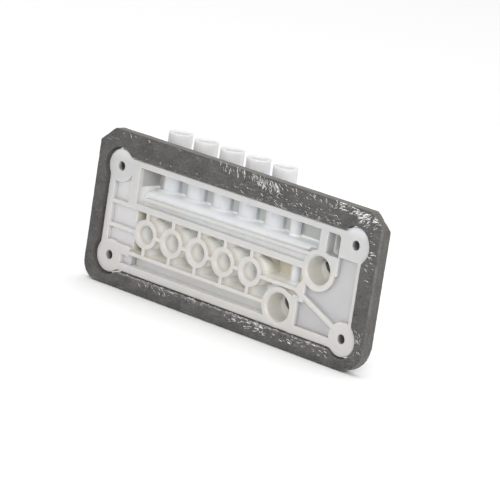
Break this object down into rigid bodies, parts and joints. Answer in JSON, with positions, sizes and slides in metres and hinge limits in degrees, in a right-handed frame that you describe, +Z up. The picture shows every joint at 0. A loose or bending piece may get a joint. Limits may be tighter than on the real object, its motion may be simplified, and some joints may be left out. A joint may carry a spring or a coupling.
{
  "type": "pneumatic manifold",
  "caption": "Moulded plastic manifold with a row of small ports, two main ports and upright barrels on a ribbed, cored plate with four ears, inside a foam gasket.",
  "frame": {"origin": "centre of the four ear holes on the plate's front plane", "axes": "+X along the plate, +Y from the front into the part, +Z up along the barrels"},
  "size_m": [0.2025, 0.0254, 0.0891],
  "materials": {
    "white_plastic": "natural white moulded plastic, slightly translucent, soft gloss",
    "foam": "charcoal closed-cell foam rubber with scuffs"
  },
  "bodies": {
    "root": {"manifold_body": "white_plastic", "foam_gasket": "foam"}
  },
  "joints": []
}
